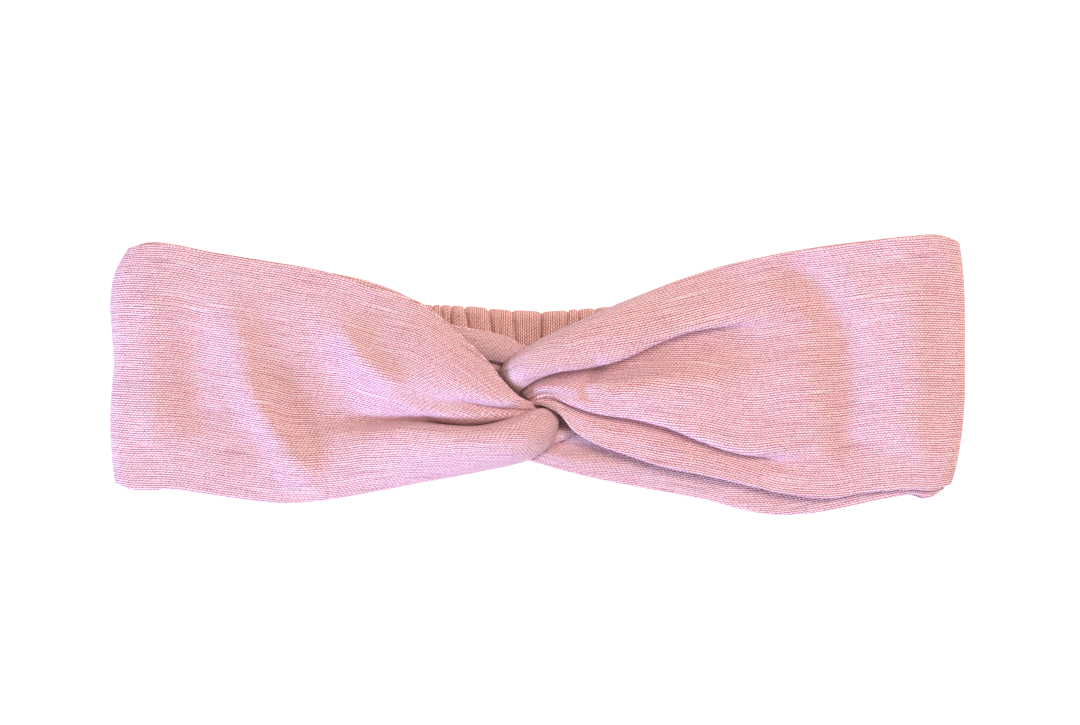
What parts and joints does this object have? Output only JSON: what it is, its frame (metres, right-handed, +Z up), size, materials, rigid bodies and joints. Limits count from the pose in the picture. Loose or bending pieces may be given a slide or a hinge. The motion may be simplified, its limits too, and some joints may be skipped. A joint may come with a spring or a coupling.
{
  "type": "knotted headband",
  "caption": "Soft cloth headband, laid flat: two bands hooked through each other in a knot at the front, joined at the back by a gathered sleeve with a flat elastic inside.",
  "frame": {"origin": "on the surface the headband lies on, under the middle of its box", "axes": "+X from the left side fold to the right one, +Y up the band's height as worn, +Z up from the gathered back to the knot"},
  "size_m": [0.2404, 0.079, 0.0231],
  "materials": {
    "band_cloth": "pink plain-weave cotton and linen look, with slubs along the band",
    "gathered_cloth": "the same pink cloth, gathered in pleats over the elastic",
    "elastic_band": "off-white flat knitted elastic",
    "join_thread": "pink sewing thread"
  },
  "bodies": {
    "casing_middle": {"elastic_casing_middle": "gathered_cloth", "elastic_middle": "elastic_band"},
    "casing_ends": {"elastic_casing_left": "gathered_cloth", "elastic_casing_right": "gathered_cloth", "elastic_left": "elastic_band", "elastic_right": "elastic_band", "left_join_stitching": "join_thread", "right_join_stitching": "join_thread"},
    "left_tail": {"left_outer_tail": "band_cloth", "left_inner_tail": "band_cloth", "left_side_fold": "band_cloth"},
    "left_front": {"left_outer_front": "band_cloth", "left_inner_front": "band_cloth"},
    "left_knot": {"left_knot_loop": "band_cloth"},
    "right_tail": {"right_outer_tail": "band_cloth", "right_inner_tail": "band_cloth", "right_side_fold": "band_cloth"},
    "right_front": {"right_outer_front": "band_cloth", "right_inner_front": "band_cloth"},
    "right_knot": {"right_knot_loop": "band_cloth"}
  },
  "joints": [
    {"name": "elastic_stretch", "type": "slide", "parent": "casing_middle", "child": "casing_ends", "axis": [0, 0, 1], "range_m": [0, 0.05], "stiffness_N_per_m": 60},
    {"name": "ring_opening", "type": "hinge", "parent": "casing_ends", "child": "left_tail", "pos_m": [-0.06, 0, 0.00175], "axis": [0, 1, 0], "range_deg": [0, 60]},
    {"name": "left_side_fold", "type": "hinge", "parent": "left_tail", "child": "left_front", "pos_m": [-0.11585, 0, 0.0057], "axis": [0, -1, 0], "range_deg": [0, 120]},
    {"name": "left_front_bend", "type": "hinge", "parent": "left_front", "child": "left_knot", "pos_m": [-0.06, 0, 0.00965], "axis": [0, 1, 0], "range_deg": [0, 60]},
    {"name": "right_tail_bend", "type": "hinge", "parent": "casing_ends", "child": "right_tail", "pos_m": [0.06, 0, 0.00175], "axis": [0, -1, 0], "range_deg": [0, 60]},
    {"name": "right_side_fold", "type": "hinge", "parent": "right_tail", "child": "right_front", "pos_m": [0.11585, 0, 0.0057], "axis": [0, 1, 0], "range_deg": [0, 120]},
    {"name": "right_front_bend", "type": "hinge", "parent": "right_front", "child": "right_knot", "pos_m": [0.06, 0, 0.00965], "axis": [0, -1, 0], "range_deg": [0, 60]}
  ],
  "couplings": [
    {"joint": "left_side_fold", "follows": "ring_opening", "ratio": 2},
    {"joint": "left_front_bend", "follows": "ring_opening", "ratio": 1},
    {"joint": "right_tail_bend", "follows": "ring_opening", "ratio": 1},
    {"joint": "right_side_fold", "follows": "ring_opening", "ratio": 2},
    {"joint": "right_front_bend", "follows": "ring_opening", "ratio": 1}
  ]
}
